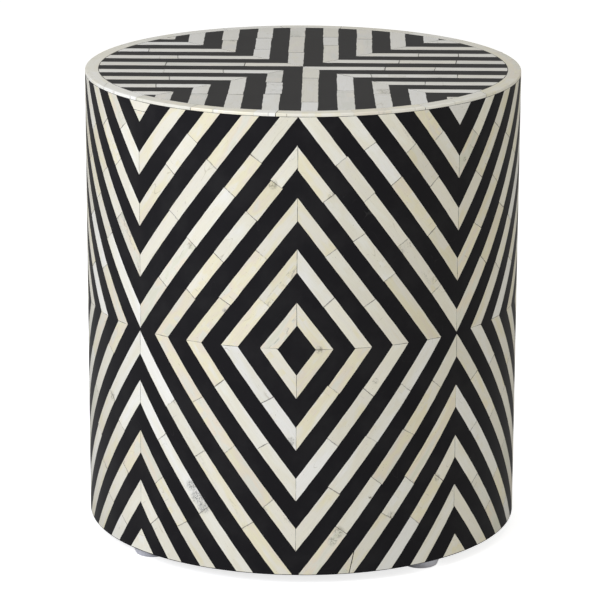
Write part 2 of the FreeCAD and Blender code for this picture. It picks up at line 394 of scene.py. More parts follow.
boneLook = {
    "tones": [
        (0.00, (0.85, 0.837, 0.788)),
        (0.20, (0.83, 0.81, 0.72)),
        (0.38, (0.81, 0.775, 0.645)),
        (0.55, (0.80, 0.765, 0.665)),
        (0.70, (0.80, 0.745, 0.535)),
        (0.83, (0.78, 0.705, 0.575)),
        (0.92, (0.75, 0.73, 0.635)),
        (1.00, (0.71, 0.70, 0.57)),
    ],
    "tileSize": (0.054, 0.0135, 1.0),
    "seedShift": (7.3, 5.9, 8.7),
    "seedTone": 0.95,
    # a noise has a scale each way, detail, roughness and perhaps distortion; a spread says from where to
    # where a mask runs, and its values there
    "cloud": ((38, 95, 38), 2, 0.5),
    "cloudMiddle": 0.5,
    "levels": (0, 1, 0.92, 1.045),
    "fibre": ((90, 1700, 1), 3, 0.6),
    "fibreSpread": (0.38, 0.75, 0, 0.16),
    "pits": ((700, 1300, 1), 1, 0.5, (0.735, 0.79, 0, 0.6)),
    "pores": ((500, 900, 1), 2, 0.65, (0.44, 0.62, 0, 1)),
    "poreAreas": ((45, 130, 45), 1, 0.5, (0.54, 0.66, 0, 1)),
    "poreTiles": (0.94, 0.96, 0, 0.45),
    "veins": ((24, 60, 24), 1, 0.5, 0.35, (0, 0.007, 1, 0)),
    "veinTiles": (0.30, 0.36, 0, 1),
    "veinPatches": ((60, 140, 60), 1, 0.5, (0.46, 0.62, 0, 0.5)),
    "soil": ((350, 350, 350), 2, 0.5, (0.42, 0.68, 0.12, 0.85)),
    "soiledEnds": (0, 0.020, 1, 0),
    "soilAmount": 0.6,
    "roughness": (0.22, 0.26),  # what the fibres add and the least
    "soilRoughness": 0.25,
    "fibreHeight": 0.25,
    "fibreColor": (0.60, 0.54, 0.40, 1),
    "veinColor": (0.36, 0.31, 0.20, 1),
    "pitColor": (0.25, 0.20, 0.13, 1),
    "poreColor": (0.17, 0.17, 0.15, 1),
    "soilColor": (0.27, 0.25, 0.20, 1),
    "coatRoughness": 0.22,
    "bump": (0.35, 0.0001),
}


def makeBoneFigure():
    tree, source, target = newGroup(
        "boneFigure", {"Place": "Vector", "Seed": "Vector", "Marks": "Float", "Warmth": "Float"},
        {"Color": "Color", "Roughness": "Float", "Height": "Float"})
    seed = splitNode(tree, source["Seed"])
    alongTile = splitNode(tree, source["Place"])[0]
    spot = vectorNode(tree, "MULTIPLY_ADD", source["Seed"], boneLook["seedShift"],
                      vectorNode(tree, "MULTIPLY", source["Place"], boneLook["tileSize"]))
    swing = mathNode(tree, "SUBTRACT", noiseNode(tree, spot, *boneLook["cloud"]), boneLook["cloudMiddle"])
    tone = mathNode(tree, "ADD", swing, product(tree, seed[0], boneLook["seedTone"]))
    warmed = addNode(tree, "ShaderNodeHueSaturation")
    wire(tree, rampNode(tree, tone, boneLook["tones"]), warmed.inputs["Color"])
    wire(tree, source["Warmth"], warmed.inputs["Saturation"])
    levelled = addNode(tree, "ShaderNodeVectorMath", operation="SCALE")
    wire(tree, warmed.outputs[0], levelled.inputs[0])
    wire(tree, rangeNode(tree, seed[1], *boneLook["levels"]), levelled.inputs["Scale"])
    fibre = noiseNode(tree, spot, *boneLook["fibre"])
    pits = patches(tree, spot, *boneLook["pits"])
    pores = product(tree, patches(tree, spot, *boneLook["pores"]),
                    patches(tree, spot, *boneLook["poreAreas"]),
                    rangeNode(tree, seed[2], *boneLook["poreTiles"]))
    veinSeed = mathNode(tree, "PINGPONG", seed[2], 0.5)
    veins = product(tree, windingLines(tree, spot, *boneLook["veins"]),
                    rangeNode(tree, veinSeed, *boneLook["veinTiles"]),
                    patches(tree, spot, *boneLook["veinPatches"]), source["Marks"])
    fromMiddle = mathNode(tree, "ABSOLUTE", mathNode(tree, "SUBTRACT", alongTile, 0.5))
    fromEnd = mathNode(tree, "SUBTRACT", 0.5, fromMiddle)
    soil = product(tree, rangeNode(tree, fromEnd, *boneLook["soiledEnds"]),
                   patches(tree, spot, *boneLook["soil"]))
    layers = {
        "fibreColor": rangeNode(tree, fibre, *boneLook["fibreSpread"]),
        "pitColor": pits,
        "poreColor": product(tree, pores, source["Marks"]),
        "veinColor": veins,
        "soilColor": product(tree, soil, boneLook["soilAmount"]),
    }
    color = levelled.outputs[0]
    for layer, mask in layers.items():
        color = mixNode(tree, "RGBA", mask, color, boneLook[layer])
    wire(tree, color, target["Color"])
    rough = mathNode(tree, "MULTIPLY_ADD", fibre, *boneLook["roughness"])
    rough = mathNode(tree, "ADD", rough, product(tree, soil, boneLook["soilRoughness"]))
    wire(tree, rough, target["Roughness"])
    wire(tree, mathNode(tree, "SUBTRACT", product(tree, fibre, boneLook["fibreHeight"]),
                        mathNode(tree, "MAXIMUM", pores, pits)), target["Height"])
    return tree


boneFigure = makeBoneFigure()


# single marks: porous patches and dark smears, each as way round, height and size

spotMarks = {
    "porous": [
        (-0.1054, 0.0918, 0.008), (-0.0987, 0.0807, 0.010), (-0.0925, 0.0720, 0.009), (-0.070, 0.271, 0.003),
        (-0.0057, 0.1446, 0.006),
    ],
    "smeared": [
        (-0.124, 0.173, 0.004), (-0.106, 0.330, 0.0045), (-0.023, 0.396, 0.006), (-0.219, 0.157, 0.006),
        (0.032, 0.386, 0.0045), (0.021, 0.236, 0.005), (0.076, 0.202, 0.004), (0.072, 0.086, 0.003),
        (0.041, 0.053, 0.0075), (0.035, 0.044, 0.006), (0.094, 0.066, 0.005),
        (0.146, 0.095, 0.005), (0.2776, 0.4106, 0.005), (0.2515, 0.4248, 0.003), (0.1765, 0.4064, 0.003),
        (0.1248, 0.4206, 0.004),
    ],
    "smearedTop": [(0.080, -0.108, 0.010), (0.082, -0.118, 0.008), (-0.075, 0.128, 0.006)],
    "fullShare": 0.35,  # of a mark's reach, before it fades
    "grains": ((780, 780, 780), 2, 0.6, (0.44, 0.60, 0.26, 1)),
    "blots": ((330, 330, 330), 3, 0.65, (0.46, 0.66, 0.10, 0.7)),
    "cracks": ((210, 210, 210), 2, 0.5, 0, (0.006, 0.030, 1, 0)),
    "amount": 0.85,
    "colors": {"Porous": (0.20, 0.20, 0.19, 1), "Smeared": (0.17, 0.155, 0.085, 1)},
}


def onSide(marks):  # marks on the wall, as places in space
    places = []
    for across, high, reach in marks:
        turn = across / drum["radius"]
        place = drum["radius"] * Vector((math.sin(turn), -math.cos(turn), 0)) + Vector((0, 0, high))
        places.append((place, reach))
    return places


def onTop(marks):
    return [(Vector((across, along, drum["top"])), reach) for across, along, reach in marks]


def makeSpots():
    tree, source, target = newGroup("spots", {"Place": "Vector"}, {"Porous": "Float", "Smeared": "Float"})
    place = source["Place"]

    def nearSpots(marks):  # 1 at the middle of each mark, 0 past its edge
        total = 0.0
        for centre, reach in marks:
            away = vectorNode(tree, "DISTANCE", place, centre)
            near = rangeNode(tree, away, reach * spotMarks["fullShare"], reach, 1, 0)
            total = mathNode(tree, "MAXIMUM", near, total)
        return total

    streaks = mathNode(tree, "MAXIMUM", patches(tree, place, *spotMarks["blots"]),
                       windingLines(tree, place, *spotMarks["cracks"]))
    porous = nearSpots(onSide(spotMarks["porous"]))
    smeared = nearSpots(onSide(spotMarks["smeared"]) + onTop(spotMarks["smearedTop"]))
    wire(tree, product(tree, porous, patches(tree, place, *spotMarks["grains"])), target["Porous"])
    wire(tree, product(tree, smeared, streaks), target["Smeared"])
    return tree


spotGroup = makeSpots()


def makeBone(name, marks, warmth, coat):
    material, tree, shader = newMaterial(
        name, **{"Coat Weight": coat, "Coat Roughness": boneLook["coatRoughness"]})
    tilePlace = addNode(tree, "ShaderNodeUVMap", uv_map="UVMap").outputs[0]
    figure = useGroup(tree, boneFigure, tilePlace, Marks=marks, Warmth=warmth)
    seed = addNode(tree, "ShaderNodeAttribute", attribute_name="tileSeed")
    wire(tree, seed.outputs["Vector"], figure.inputs["Seed"])
    spots = useGroup(tree, spotGroup, objectPlace(tree))
    color = figure.outputs["Color"]
    for mark, markColor in spotMarks["colors"].items():
        amount = product(tree, spots.outputs[mark], spotMarks["amount"])
        color = mixNode(tree, "RGBA", amount, color, markColor)
    wire(tree, color, shader.inputs["Base Color"])
    wire(tree, figure.outputs["Roughness"], shader.inputs["Roughness"])
    addBump(tree, shader, figure.outputs["Height"], *boneLook["bump"])
    return material


boneSide = makeBone("boneSide", marks=1.0, warmth=1.0, coat=0.6)
boneTop = makeBone("boneTop", marks=0.8, warmth=0.45, coat=0.68)
boneRim = makeBone("boneRim", marks=0.6, warmth=0.8, coat=0.5)


# scuffs: shared by the resin, the painted base, the glides and their screws

scuffLook = {
    "haze": ((24, 24, 24), 4, 0.6),
    "cloudSpread": (0.42, 0.68, 0, 0.22),
    "arcs": ((42, 42, 42), 1, 0.5, 0.6, (0, 0.0035, 1, 0)),
    "arcPatches": ((33, 33, 33), 2, 0.5, (0.53, 0.66, 0, 0.6)),
    "dust": ((1100, 1100, 1100), 1, 0.5, (0.76, 0.81, 0, 0.9)),
    "markHeight": 0.4,
    "bumpDepth": 0.0004,
}
scuffed = {
    "blackResin": {
        "color": (0.0125, 0.0119, 0.0135, 1), "markColor": (0.055, 0.054, 0.052, 1),
        "roughness": (0.38, 0.6), "amount": 0.55, "bump": 0.12, "shader": {"Specular IOR Level": 0.06},
    },
    "blackPaint": {
        "color": (0.016, 0.015, 0.014, 1), "markColor": (0.09, 0.08, 0.07, 1),
        "roughness": (0.55, 0.75), "amount": 0.6, "bump": 0.3, "shader": {},
    },
    "greyNylon": {
        "color": (0.70, 0.70, 0.77, 1), "markColor": (0.40, 0.40, 0.42, 1),
        "roughness": (0.42, 0.6), "amount": 0.5, "bump": 0.15, "shader": {},
    },
    "screwSteel": {
        "color": (0.55, 0.55, 0.54, 1), "markColor": (0.30, 0.27, 0.22, 1),
        "roughness": (0.30, 0.5), "amount": 0.6, "bump": 0.1, "shader": {"Metallic": 1},
    },
}


def makeScuffs():
    tree, source, target = newGroup(
        "scuffs", {"Place": "Vector", "Amount": "Float"}, {"Mask": "Float", "Height": "Float"})
    place = source["Place"]
    haze = noiseNode(tree, place, *scuffLook["haze"])
    arcs = product(tree, windingLines(tree, place, *scuffLook["arcs"]),
                   patches(tree, place, *scuffLook["arcPatches"]))
    marks = mathNode(tree, "MAXIMUM", arcs, patches(tree, place, *scuffLook["dust"]))
    both = mathNode(tree, "MAXIMUM", marks, rangeNode(tree, haze, *scuffLook["cloudSpread"]))
    wire(tree, product(tree, both, source["Amount"]), target["Mask"])
    height = mathNode(tree, "SUBTRACT", haze, product(tree, marks, scuffLook["markHeight"]))
    wire(tree, height, target["Height"])
    return tree


scuffs = makeScuffs()


def makeScuffed(name):
    look = scuffed[name]
    material, tree, shader = newMaterial(name, **look["shader"])
    marks = useGroup(tree, scuffs, objectPlace(tree), Amount=look["amount"])
    mask = marks.outputs["Mask"]
    wire(tree, mixNode(tree, "RGBA", mask, look["color"], look["markColor"]), shader.inputs["Base Color"])
    wire(tree, rangeNode(tree, mask, 0, 1, *look["roughness"]), shader.inputs["Roughness"])
    addBump(tree, shader, marks.outputs["Height"], look["bump"], scuffLook["bumpDepth"])
    return material


blackResin, blackPaint, greyNylon, screwSteel = [makeScuffed(name) for name in scuffed]


# wood of the hidden carcass

woodLook = {
    "rings": ((90, 90, 6), 4, 0.55, 1.2),
    "fine": ((900, 900, 25), 3, 0.6),
    "ringAmount": 0.7,
    "fineAmount": 0.3,
    "grainSpread": (0.35, 0.7, 0, 1),
    "plyThickness": 0.0018,
    "plySpread": (0.0007, 0.0011, 0, 1),
    "roughness": 0.62,
    "bump": (0.3, 0.0004),
}


def makeWoodGrain():
    tree, source, target = newGroup(
        "woodGrain", {"Place": "Vector", "Plies": "Float"}, {"Mask": "Float", "Height": "Float"})
    place = source["Place"]
    layers = mathNode(tree, "PINGPONG", splitNode(tree, place)[2], woodLook["plyThickness"])
    layerLine = product(tree, rangeNode(tree, layers, *woodLook["plySpread"]), source["Plies"])
    fine = product(tree, noiseNode(tree, place, *woodLook["fine"]), woodLook["fineAmount"])
    grain = mathNode(tree, "MULTIPLY_ADD", noiseNode(tree, place, *woodLook["rings"]),
                     woodLook["ringAmount"], fine)
    lines = rangeNode(tree, grain, *woodLook["grainSpread"])
    wire(tree, mathNode(tree, "MAXIMUM", lines, layerLine), target["Mask"])
    wire(tree, grain, target["Height"])
    return tree


woodGrain = makeWoodGrain()


def makeWood(name, pale, dark, plies):
    material, tree, shader = newMaterial(name, Roughness=woodLook["roughness"])
    grain = useGroup(tree, woodGrain, objectPlace(tree), Plies=plies)
    wire(tree, mixNode(tree, "RGBA", grain.outputs["Mask"], pale, dark), shader.inputs["Base Color"])
    addBump(tree, shader, grain.outputs["Height"], *woodLook["bump"])
    return material


staveWood = makeWood("staveWood", pale=(0.60, 0.42, 0.25, 1), dark=(0.40, 0.25, 0.13, 1), plies=0.0)
plyBoard = makeWood("plyBoard", pale=(0.66, 0.52, 0.34, 1), dark=(0.42, 0.28, 0.16, 1), plies=1.0)
for nodeName, node in frame["nodes"].items():
    material = None
    if nodeName.startswith("stave"):
        material = staveWood
    elif nodeName.endswith("former") or nodeName == "top_panel":
        material = plyBoard
    elif nodeName == "base_panel":
        material = blackPaint
    if material:
        node.data.materials.clear()
        node.data.materials.append(material)
print("materials made")


# side marquetry: laid flat on the table, then wrapped round the drum

sideInlay = {
    "courses": 8,
    "heart": 0.0145,
    "corner": 0.0122,
    "footLine": 0.0007,
    "topLine": 0.0003,
    "mitreGap": 0.0003,
    "boneDepth": 0.0014,
    "resinSink": 0.00013,
    "resinDepth": 0.0037,
    "resinAboveFoot": 0.0001,
    "resinBelowTop": 0.0012,
    "roundFacets": 256,
    "seamMerge": 0.00002,
    "smoothAngle": 25,
    "tiles": {
        "length": 0.054, "lengthSpread": 0.010, "endRoom": 0.024, "overrun": 0.016, "levels": (0.15, 0.8),
        "width": 0.0133, "widthSpread": 0.0002, "widthStep": 0.0006, "shift": 0.00018, "shiftStep": 0.0006,
        "skew": 0.003, "lean": 0.11, "joint": 0.00032, "facet": 0.0065, "rows": 2, "wobble": 0.00013,
        "ease": 0.00012, "easeDrop": 0.00008, "shortest": 0.0005, "shortSide": 0.0012,
    },
    # how the courses creep from their places, in metres away from the heart of their column: at the start
    # of the legs of the first course, what each course adds, and the same at their end, by cell and rise
    "creep": {
        (-2, 1): (0.0017, -0.0003, 0.0012, -0.00015),
        (-1, 1): (0.0012, -0.0002, 0.0017, -0.0008),
        (0, 1): (0.0003, -0.00015, 0.0013, -0.0005),
        (1, 1): (0.0012, -0.00025, 0.0014, -0.00045),
        (-2, -1): (0.0007, -0.00055, 0.0006, -0.00045),
        (-1, -1): (-0.0003, 0.00005, 0.0018, -0.00005),
        (0, -1): (-0.0004, -0.00005, 0.0014, -0.00025),
        (1, -1): (-0.0012, 0.0, -0.0006, -0.0002),
    },
    "backCells": (-4, -3, 2, 3),
    "backCreep": (0.0010, 0.0002, 0.0012, 0.0003),
    "firstEndCreep": -0.0011,
    # the triangles that lie or stand otherwise than the rest: shift to the right and growth, by place
    # and rise
    "cornerCreep": {
        (-1, -1): (-0.0018, 0.0026), (-1, 1): (0.0011, -0.0006), (1, 1): (-0.0002, 0.0),
        (1, -1): (0.0022, 0.0012),
    },
    "cornerBlank": 1.2,  # the tile that a triangle is cut from, against its height and base
    "cornerSteps": (3, 5),
    # a joint across a triangle, as a share of its height, and one that lies slanting in a leg, as a share
    # of the leg and the way its face looks in degrees
    "cornerJointShares": {(-1, 1): 0.54},
    "slantedJoint": {(5, 0, -1): (0.961, 168)},
    "slantedGap": 0.0008,
    # where the front shows joints, as shares of the leg: the four legs of a course at the middle
    # column are up left, up right, down left and down right, then the same at its neighbours
    "middleJointShares": [
        ([], [], [], []),
        ([0.52], [0.53], [0.57], [0.45]),
        ([0.32, 0.67], [0.32, 0.69], [0.27, 0.69], [0.32, 0.66]),
        ([0.25, 0.46, 0.69, 0.86], [0.36, 0.58, 0.79], [0.30, 0.54, 0.81], [0.23, 0.48, 0.74]),
        ([0.19, 0.40, 0.65, 0.81], [0.17, 0.41, 0.63, 0.80], [0.25, 0.46, 0.77], [0.16, 0.36, 0.57, 0.79]),
        ([0.36, 0.70], [0.27, 0.60, 0.82], [0.24, 0.64], [0.46, 0.66]),
        ([0.47, 0.77], [0.37, 0.69], [0.30, 0.64], [0.25, 0.59]),
        ([], [0.57], [0.42], []),
    ],
    "outerJointShares": [
        ([], [], [], []),
        None,
        None,
        ([0.26, 0.51], [0.28, 0.50], [0.17, 0.45], [0.22, 0.43]),
        ([0.33, 0.49, 0.65], [0.25, 0.47, 0.69], [0.31, 0.52], [0.17, 0.39, 0.58]),
        ([0.27, 0.51, 0.74], [0.24, 0.49, 0.72], [0.26, 0.57], [0.23, 0.60, 0.84]),
        ([0.41, 0.72], [0.35, 0.73], [0.30, 0.65], [0.37, 0.68]),
        ([0.54], [0.50], [0.62], []),
    ],
}
lineDistance = cellWidth * cellHeight / math.hypot(cellWidth, cellHeight)
stripShare = sideInlay["tiles"]["width"] / lineDistance
heartShare = sideInlay["heart"] / lineDistance
cornerShare = sideInlay["corner"] / lineDistance
pitchShare = (2 - heartShare - cornerShare) / sideInlay["courses"]


def cellSide(cell):  # even cells lie to the right of their column's heart, odd ones to the left
    return 1 if cell % 2 == 0 else -1


def cellPoint(cell, rise, across, along):  # a place in one cell of the flat layout
    centre = cell * cellWidth if cell % 2 == 0 else (cell + 1) * cellWidth
    return Vector((centre + cellSide(cell) * across * cellWidth, middleHeight + rise * along * cellHeight, 0))


def fieldEdge(rise):  # where the side field ends, above and below
    return drum["fieldTop"] - sideInlay["topLine"] if rise > 0 else drum["foot"] + sideInlay["footLine"]


def courseShare(course):  # how far the centre line of a course lies from the heart
    return heartShare + course * pitchShare + stripShare / 2


creepChance = random.Random(7)
creeps = dict(sideInlay["creep"])
for cell in sideInlay["backCells"]:
    for rise in (1, -1):
        creeps[cell, rise] = [creepChance.uniform(-most, most) for most in sideInlay["backCreep"]]


def legLine(course, cell, rise):  # the centre line of one leg, with its creep
    laps = (cell + drum["columns"]) // (2 * drum["columns"])
    cell -= laps * 2 * drum["columns"]
    share = courseShare(course)
    if share < 1:
        start, end = cellPoint(cell, rise, share, 0), cellPoint(cell, rise, 0, share)
    else:
        start, end = cellPoint(cell, rise, 1, share - 1), cellPoint(cell, rise, share - 1, 1)
    outward = Vector((cellSide(cell) * cellHeight, rise * cellWidth, 0)).normalized()
    atStart, startGrowth, atEnd, endGrowth = creeps[cell, rise]
    if course == 0:
        atEnd += sideInlay["firstEndCreep"]
    seam = Vector((laps * roundLength, 0, 0))
    return (start + seam + outward * (atStart + course * startGrowth),
            end + seam + outward * (atEnd + course * endGrowth))


def meeting(course, cell, rise, otherCell, otherRise):  # where the centre lines of two legs cross
    lines = (*legLine(course, cell, rise), *legLine(course, otherCell, otherRise))
    return geometry.intersect_line_line(*lines)[0]


def seenSideJoints(course, cell, rise, length):  # None where the photograph shows none
    seen = sideInlay["middleJointShares"] if cell in (-1, 0) else sideInlay["outerJointShares"]
    if cell not in (-2, -1, 0, 1) or seen[course] is None:
        return None
    leg = (0 if rise > 0 else 2) + (0 if cell < 0 else 1)
    return [share * length for share in seen[course][leg]]


def laySlantedJoint(piece, start, end, joint, footTrim):  # cuts the last tile and lays its other half
    share, turn = joint
    cut = start + (end - start) * share
    way = Vector((math.cos(math.radians(turn)), math.sin(math.radians(turn)), 0))
    off = way * sideInlay["slantedGap"] / 2
    trimTile(cut - off, way)
    layRow(piece, cut, end - cut, (end - cut).length, sideInlay["tiles"], [(cut + off, -way), footTrim], [])


def laySideCourse(course):
    half = sideInlay["courses"] // 2
    kind, number = ("Diamond", course + 1) if course < half else ("Chevron", course + 1 - half)
    piece = startPiece(f"bone{kind}{number}")
    halfGap = sideInlay["mitreGap"] / 2
    for cell in range(-drum["columns"], drum["columns"]):
        side = cellSide(cell)
        for rise in (1, -1):
            if courseShare(course) < 1:
                start = meeting(course, cell, rise, cell, -rise)
                end = meeting(course, cell, rise, cell - side, rise)
                trims = [((0, start.y + rise * halfGap, 0), (0, -rise, 0)),
                         ((end.x + side * halfGap, 0, 0), (-side, 0, 0))]
            else:
                start = meeting(course, cell, rise, cell + side, rise)
                end = legLine(course, cell, rise)[1]
                trims = [((start.x - side * halfGap, 0, 0), (side, 0, 0)),
                         ((0, fieldEdge(rise), 0), (0, rise, 0))]
            length = (end - start).length
            joints = seenSideJoints(course, cell, rise, length)
            layRow(piece, start, end - start, length, sideInlay["tiles"], trims, joints)
            if (course, cell, rise) in sideInlay["slantedJoint"]:
                laySlantedJoint(piece, start, end, sideInlay["slantedJoint"][course, cell, rise], trims[1])
    easeTiles(piece, sideInlay["tiles"])
    return piece, f"bone_{kind.lower()}_{number}"


def layCorners():  # the small triangles where two columns meet at the top and the foot
    piece = startPiece("boneCorners")
    slant = Vector((cellHeight, cellWidth, 0)).normalized()
    blank = sideInlay["cornerBlank"]
    for junction in range(1 - drum["columns"], drum["columns"], 2):
        for rise in (1, -1):
            shift, growth = sideInlay["cornerCreep"].get((junction, rise), (0, 0))
            tall = cornerShare * cellHeight + growth
            halfBase = tall * cellWidth / cellHeight
            field = drum["fieldTop"] if rise > 0 else drum["foot"]
            centre = Vector((junction * cellWidth + shift, field - rise * tall / 2, 0))
            apex = Vector((centre.x, field - rise * tall, 0))
            trims = [((0, fieldEdge(rise), 0), (0, rise, 0))]
            trims += [(apex, (side * slant.x, -rise * slant.y, 0)) for side in (1, -1)]
            share = sideInlay["cornerJointShares"].get((junction, rise))
            for way in (1, -1) if share else (0,):
                layTile(piece, centre, math.pi / 2, blank * tall, 2 * blank * halfBase,
                        sideInlay["cornerSteps"])
                for trim in trims:
                    trimTile(*trim)
                if share:
                    cut = apex.y + rise * share * tall + way * sideInlay["tiles"]["joint"] / 2
                    trimTile((0, cut, 0), (0, -way, 0))
                bpy.ops.mesh.remove_doubles(threshold=sideInlay["tiles"]["shortest"])
    easeTiles(piece, sideInlay["tiles"])
    return piece, "bone_corners"


def wrapBone(piece, node):
    thicken(piece, sideInlay["boneDepth"])
    standUp(piece)
    bendRound(piece)
    closePiece(sideInlay["smoothAngle"])
    keepPiece(piece, boneSide, "bone", node)


for course in range(sideInlay["courses"]):
    wrapBone(*laySideCourse(course))
wrapBone(*layCorners())


def pourSideResin():
    low = drum["foot"] + sideInlay["resinAboveFoot"]
    tall = drum["top"] - sideInlay["resinBelowTop"] - low
    piece = addShape("sideResin", bpy.ops.mesh.primitive_grid_add, x_subdivisions=sideInlay["roundFacets"],
                     y_subdivisions=1, size=1)
    bpy.ops.transform.resize(value=(roundLength, tall, 1), center_override=(0, 0, 0))
    bpy.ops.transform.translate(value=(0, low + tall / 2, -sideInlay["resinSink"]))
    applyPlace()
    standUp(piece)
    bendRound(piece)
    bpy.ops.object.mode_set(mode="EDIT")
    bpy.ops.mesh.select_all(action="SELECT")
    bpy.ops.mesh.remove_doubles(threshold=sideInlay["seamMerge"])
    bpy.ops.mesh.normals_make_consistent(inside=False)
    bpy.ops.object.mode_set(mode="OBJECT")
    thicken(piece, sideInlay["resinDepth"])
    closePiece(sideInlay["smoothAngle"])
    keepPiece(piece, blackResin, "resin", "resin_heart", "resin_diamond_1", "resin_diamond_2",
              "resin_diamond_3", "resin_lattice", "resin_chevron_1", "resin_chevron_2", "resin_chevron_3",
              "resin_chevron_4")


pourSideResin()
print("side marquetry wrapped")


# rim: bone pieces round the edge of the top

rim = {
    "width": 0.013,
    # each joint as its turn, how far its inner end lies to the right, and its width
    "joints": [
        (-81, 0.0, 0.0004), (-61.5, -0.020, 0.0005), (-46, -0.002, 0.0006), (-28, 0.001, 0.0006),
        (-11, 0.001, 0.0001), (-5.5, 0.001, 0.0006), (14, 0.0, 0.00015), (24, 0.001, 0.0001),
        (33.5, 0.0, 0.0006), (55.5, 0.010, 0.0005), (77, 0.0, 0.0004),
    ],
    "pieceTurn": 19,
    "turnSpread": 3,
    "overrun": 0.024,
    "joint": 0.0005,
    "slant": 0.0022,
    "levels": (0.5, 1.0),
    "facet": 0.0060,
    "aboveField": 0.0001,
    "ease": 0.0009,
    "easeSteps": 4,
    "innerEase": 0.00015,
    "innerAngle": 50,
    "smoothAngle": 32,
}


def rimJoints():  # the joints that show in front, then more round the back
    joints = list(rim["joints"])
    first, last = joints[0][0], joints[-1][0]
    gap = 360 - (last - first)
    count = round(gap / rim["pieceTurn"])
    for number in range(1, count):
        turn = last + gap * number / count + chance.uniform(-rim["turnSpread"], rim["turnSpread"])
        slant = chance.uniform(-rim["slant"], rim["slant"])
        joints.append((turn if turn <= 180 else turn - 360, slant, rim["joint"]))
    return sorted(joints)


def isOuterTop(edge):  # on the flat rim the outside lies at Y = 0 and the top at Z = 0
    return all(vert.co.y < touching and vert.co.z > -touching for vert in edge.verts)


def layRim():
    piece = startPiece("rimBone")
    ends = [(math.radians(turn) * drum["radius"], slant, joint) for turn, slant, joint in rimJoints()]
    ends.append((ends[0][0] + roundLength, *ends[0][1:]))
    for low, high in zip(ends, ends[1:]):
        length = high[0] - low[0] + 2 * rim["overrun"]
        middle = Vector(((low[0] + high[0]) / 2, rim["width"] / 2, 0))
        steps = (round(length / rim["facet"]), 2)
        layTile(piece, middle, 0, length, rim["width"], steps, levels=rim["levels"])
        for outward, (place, slant, joint) in ((-1, low), (1, high)):
            lean = Vector((rim["width"], -slant, 0)).normalized() * outward
            trimTile((place - outward * joint / 2, 0, 0), lean)
    bpy.ops.object.mode_set(mode="OBJECT")
    thicken(piece, drum["top"] - drum["fieldTop"] - rim["aboveField"])
    bpy.ops.object.mode_set(mode="EDIT")
    chooseParts(piece, "edges", isOuterTop)
    bpy.ops.mesh.bevel(offset=rim["ease"], segments=rim["easeSteps"], profile=0.5, affect="EDGES")
    bpy.ops.object.mode_set(mode="OBJECT")
    applyModifier(piece, "BEVEL", width=rim["innerEase"], segments=1, limit_method="ANGLE",
                  angle_limit=math.radians(rim["innerAngle"]))
    piece.location.z = drum["top"]
    applyPlace()
    bendRound(piece)
    closePiece(rim["smoothAngle"])
    keepPiece(piece, boneRim, "bone", "rim_bone")


layRim()
print("rim laid")


# top marquetry: L-shaped courses in four quadrants

topInlay = {
    "stripWidth": 0.0162,
    "gapWidth": 0.0182,
    "fieldRadius": drum["radius"] - rim["width"],
    "edgeGap": 0.0007,
    "mitreGap": 0.0008,
    "resinInside": 0.0012,
    "resinOverlap": 0.0002,
    "resinRing": 0.05,
    "resinFacets": 180,
    "edgeCuts": 45,
    "mergeBelow": 0.00019,
    "boneDepth": 0.0014,
    "resinSink": 0.00013,
    "smoothAngle": 25,
    "resinAngle": 30,
    "turn": 0.5,
    "shiftBack": 0.0018,
    "outerShift": {"backLeft": -0.0045},
    # in front the forward strips fan out, in degrees for each metre from the middle, and some mitres
    # lie further out or in
    "fan": 18,
    "cornerShift": {"frontLeft": (0.0002, 0.0005, 0.0005), "frontRight": (0, -0.0012, -0.0014, -0.0014)},
    "quadrants": {
        "backLeft": (-1, 1, True, "top_bone_back_left"),
        "backRight": (1, 1, False, "top_bone_back_right"),
        "frontLeft": (-1, -1, False, "top_bone_front_left"),
        "frontRight": (1, -1, True, "top_bone_front_right"),
    },
    # the joints of each course, as distances from the drum's axis
    "seenSideways": {
        "backLeft": ([0.058, 0.136], [0.126], [0.157], [], []),
        "backRight": ([0.095, 0.152], [0.115, 0.155], [], []),
        "frontLeft": ([0.078, 0.136], [0.129], [0.140], []),
        "frontRight": ([0.081, 0.130], [0.067, 0.151], [0.119], [], []),
    },
    "seenForwards": {
        "backLeft": ([0.070, 0.151], [0.085, 0.142], [0.131], [], []),
        "backRight": ([0.107, 0.150], [0.141], [], []),
        "frontLeft": ([0.076, 0.130], [0.133], [0.132], []),
        "frontRight": ([0.056, 0.165], [0.113], [0.126], [], []),
    },
    "sideways": {
        "overrun": 0.014, "levels": (0.8, 1.0), "width": 0.0148, "widthSpread": 0.0003, "widthStep": 0.0009,
        "shift": 0.0002, "shiftStep": 0.0007, "skew": 0.003, "lean": 0.10, "joint": 0.0006, "facet": 0.018,
        "rows": 1, "shortest": 0.0005,
    },
    "forwards": {
        "overrun": 0.014, "levels": (0.3, 0.75), "width": 0.0155, "widthSpread": 0.0003, "widthStep": 0.0011,
        "shift": 0.0003, "shiftStep": 0.0009, "skew": 0.004, "lean": 0.05, "joint": 0.0014, "facet": 0.007,
        "rows": 1, "shortest": 0.0005,
    },
    "edges": {"wobble": 0.00028, "ease": 0.00014, "easeDrop": 0.00009, "shortSide": 0.0015},
}


def cutFieldEdge(across, along):  # cuts the flat tiles of one quadrant along the rim
    radius = topInlay["fieldRadius"] - topInlay["edgeGap"]
    for number in range(topInlay["edgeCuts"]):
        turn = math.radians(90) * (number + 0.5) / topInlay["edgeCuts"]
        way = Vector((across * math.cos(turn), along * math.sin(turn), 0))
        bpy.ops.mesh.select_all(action="SELECT")
        bpy.ops.mesh.bisect(plane_co=way * radius, plane_no=way, clear_outer=True, threshold=cutMerge)
    bpy.ops.mesh.select_all(action="SELECT")
    bpy.ops.mesh.remove_doubles(threshold=topInlay["mergeBelow"])


